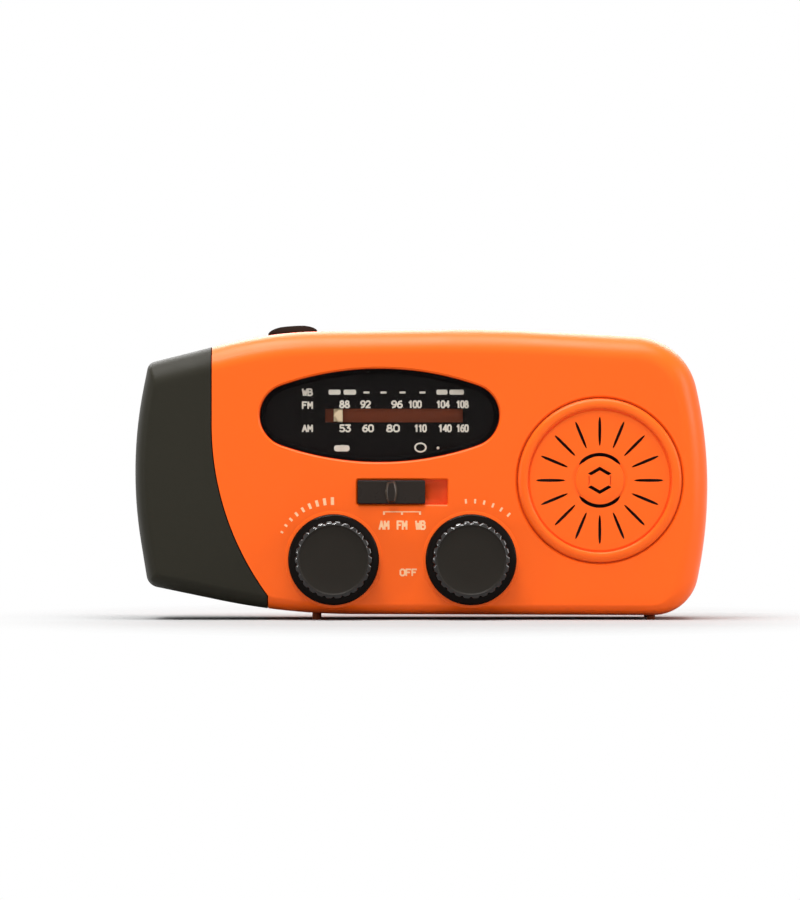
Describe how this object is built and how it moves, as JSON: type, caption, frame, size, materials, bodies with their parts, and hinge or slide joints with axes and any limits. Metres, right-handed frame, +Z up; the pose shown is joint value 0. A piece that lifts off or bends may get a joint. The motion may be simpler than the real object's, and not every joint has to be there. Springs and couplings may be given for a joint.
{
  "type": "emergency radio",
  "caption": "Portable emergency radio with a torch head, dial, two knobs, band switch, speaker, solar cell, folding hand crank, generator and telescopic antenna.",
  "frame": {"origin": "on the floor under the middle of the radio, at the feet", "axes": "+X from the torch head to the speaker, -Y out of the front face, +Z up"},
  "size_m": [0.1274, 0.046, 0.0656],
  "materials": {
    "front_shell": "orange moulded plastic",
    "rear_shell": "orange moulded plastic",
    "torch_head": "dark brown-grey moulded plastic",
    "torch_lens": "clear plastic",
    "torch_reflector": "bright plating",
    "torch_leds": "clear lamp body",
    "torch_led_board": "white circuit board",
    "torch_switch": "black plastic",
    "torch_button": "dark glossy plastic",
    "dial_window": "smoked clear plastic",
    "dial_plate": "printed dark sheet",
    "dial_frame": "brown moulded plastic",
    "dial_cord": "woven cord",
    "dial_pointer": "cream plastic",
    "indicator_leds": "red lamp body",
    "volume_knob": "dark glossy plastic",
    "volume_shaft": "plain steel",
    "volume_pot": "plain steel",
    "tuning_knob": "dark glossy plastic",
    "tuning_drum": "natural plastic",
    "tuning_capacitor": "natural plastic",
    "band_switch_slider": "dark glossy plastic",
    "band_switch_body": "plain steel",
    "speaker_grille": "orange moulded plastic",
    "speaker_frame": "plain steel",
    "speaker_cone": "black plastic",
    "speaker_magnet": "dark magnet",
    "main_board": "green circuit board",
    "solar_window": "clear plastic",
    "solar_panel": "dark blue solar cells",
    "ferrite_rod": "dark magnet",
    "ferrite_coil": "enamelled copper winding",
    "battery_cell": "green sleeve",
    "battery_contacts": "nickel-plated spring steel",
    "charge_board": "green circuit board",
    "usb_a_port": "plain steel",
    "micro_usb_port": "plain steel",
    "port_cover": "soft rubber",
    "gearbox_frame": "natural plastic",
    "gearbox_cover": "natural plastic",
    "crank_bearing": "turned brass",
    "crank_shaft": "plain steel",
    "crank_gear": "natural plastic",
    "crank_arm": "black plastic",
    "crank_screw": "dark steel",
    "grip_yoke": "plain steel",
    "crank_grip": "black plastic",
    "idler_gear": "natural plastic",
    "generator_rotor": "dark steel",
    "generator_can": "plain steel",
    "generator_coil": "enamelled copper winding",
    "antenna_base": "bright plating",
    "antenna_tube_1": "bright plating",
    "antenna_tube_2": "bright plating",
    "antenna_tube_3": "bright plating",
    "antenna_tube_4": "bright plating",
    "antenna_tube_5": "bright plating",
    "case_screws": "dark steel",
    "feet": "brown rubber"
  },
  "bodies": {
    "housing": {"front_shell": "front_shell", "rear_shell": "rear_shell", "torch_head": "torch_head", "torch_lens": "torch_lens", "torch_reflector": "torch_reflector", "torch_leds": "torch_leds", "torch_led_board": "torch_led_board", "torch_switch": "torch_switch", "dial_window": "dial_window", "dial_plate": "dial_plate", "dial_frame": "dial_frame", "dial_cord": "dial_cord", "indicator_leds": "indicator_leds", "volume_pot": "volume_pot", "tuning_capacitor": "tuning_capacitor", "band_switch_body": "band_switch_body", "speaker_grille": "speaker_grille", "speaker_frame": "speaker_frame", "speaker_cone": "speaker_cone", "speaker_magnet": "speaker_magnet", "main_board": "main_board", "solar_window": "solar_window", "solar_panel": "solar_panel", "ferrite_rod": "ferrite_rod", "ferrite_coil": "ferrite_coil", "battery_cell": "battery_cell", "battery_contacts": "battery_contacts", "charge_board": "charge_board", "usb_a_port": "usb_a_port", "micro_usb_port": "micro_usb_port", "gearbox_frame": "gearbox_frame", "gearbox_cover": "gearbox_cover", "crank_bearing": "crank_bearing", "generator_can": "generator_can", "generator_coil": "generator_coil", "case_screws": "case_screws", "feet": "feet"},
    "tuning": {"tuning_knob": "tuning_knob", "tuning_drum": "tuning_drum"},
    "pointer": {"dial_pointer": "dial_pointer"},
    "volume": {"volume_knob": "volume_knob", "volume_shaft": "volume_shaft"},
    "band_switch": {"band_switch_slider": "band_switch_slider"},
    "torch_button": {"torch_button": "torch_button"},
    "flap": {"port_cover": "port_cover"},
    "crank": {"crank_arm": "crank_arm", "crank_shaft": "crank_shaft", "crank_gear": "crank_gear", "crank_screw": "crank_screw"},
    "grip_fork": {"grip_yoke": "grip_yoke"},
    "grip": {"crank_grip": "crank_grip"},
    "idler": {"idler_gear": "idler_gear"},
    "rotor": {"generator_rotor": "generator_rotor"},
    "antenna_turntable": {"antenna_base": "antenna_base"},
    "antenna_1": {"antenna_tube_1": "antenna_tube_1"},
    "antenna_2": {"antenna_tube_2": "antenna_tube_2"},
    "antenna_3": {"antenna_tube_3": "antenna_tube_3"},
    "antenna_4": {"antenna_tube_4": "antenna_tube_4"},
    "antenna_5": {"antenna_tube_5": "antenna_tube_5"}
  },
  "joints": [
    {"name": "tuning_turn", "type": "hinge", "parent": "housing", "child": "tuning", "pos_m": [0.0111, -0.0175, 0.0134], "axis": [0, 1, 0], "range_deg": [-20, 305]},
    {"name": "pointer_slide", "type": "slide", "parent": "housing", "child": "pointer", "axis": [1, 0, 0], "range_m": [-0.0018, 0.0267]},
    {"name": "volume_turn", "type": "hinge", "parent": "housing", "child": "volume", "pos_m": [-0.0194, -0.0175, 0.0134], "axis": [0, 1, 0], "range_deg": [0, 300]},
    {"name": "band_switch_slide", "type": "slide", "parent": "housing", "child": "band_switch", "axis": [1, 0, 0], "range_m": [0, 0.0048]},
    {"name": "torch_button_press", "type": "slide", "parent": "housing", "child": "torch_button", "axis": [0.068, 0, -0.9977], "range_m": [0, 0.0008], "stiffness_N_per_m": 400},
    {"name": "flap_hinge", "type": "hinge", "parent": "housing", "child": "flap", "pos_m": [0.05, 0.01545, 0.0186], "axis": [-1, 0, 0], "range_deg": [0, 120]},
    {"name": "crank_spin", "type": "hinge", "parent": "housing", "child": "crank", "pos_m": [0.022, 0.016, 0.0345], "axis": [0, 1, 0], "continuous": true},
    {"name": "grip_fold", "type": "hinge", "parent": "crank", "child": "grip_fork", "pos_m": [-0.0095, 0.0198, 0.0345], "axis": [0, 0, 1], "range_deg": [0, 90]},
    {"name": "grip_spin", "type": "hinge", "parent": "grip_fork", "child": "grip", "pos_m": [-0.0095, 0.0198, 0.0345], "axis": [1, 0, 0], "continuous": true},
    {"name": "idler_spin", "type": "hinge", "parent": "housing", "child": "idler", "pos_m": [0.009, 0.008, 0.0345], "axis": [0, 1, 0], "continuous": true},
    {"name": "rotor_spin", "type": "hinge", "parent": "housing", "child": "rotor", "pos_m": [-0.004, 0.008, 0.0345], "axis": [0, 1, 0], "continuous": true},
    {"name": "antenna_turn", "type": "hinge", "parent": "housing", "child": "antenna_turntable", "pos_m": [0.05, 0.0129, 0.0574], "axis": [0, 1, 0], "range_deg": [0, 180]},
    {"name": "antenna_tilt", "type": "hinge", "parent": "antenna_turntable", "child": "antenna_1", "pos_m": [0.05, 0.0129, 0.0574], "axis": [0, 0, -1], "range_deg": [0, 90]},
    {"name": "antenna_slide_2", "type": "slide", "parent": "antenna_1", "child": "antenna_2", "axis": [-1, 0, 0], "range_m": [0, 0.066]},
    {"name": "antenna_slide_3", "type": "slide", "parent": "antenna_2", "child": "antenna_3", "axis": [-1, 0, 0], "range_m": [0, 0.066]},
    {"name": "antenna_slide_4", "type": "slide", "parent": "antenna_3", "child": "antenna_4", "axis": [-1, 0, 0], "range_m": [0, 0.066]},
    {"name": "antenna_slide_5", "type": "slide", "parent": "antenna_4", "child": "antenna_5", "axis": [-1, 0, 0], "range_m": [0, 0.066]}
  ],
  "couplings": [
    {"joint": "pointer_slide", "follows": "tuning_turn", "m_per_rad": 0.005},
    {"joint": "idler_spin", "follows": "crank_spin", "ratio": -3.3333},
    {"joint": "rotor_spin", "follows": "crank_spin", "ratio": 11.111}
  ]
}
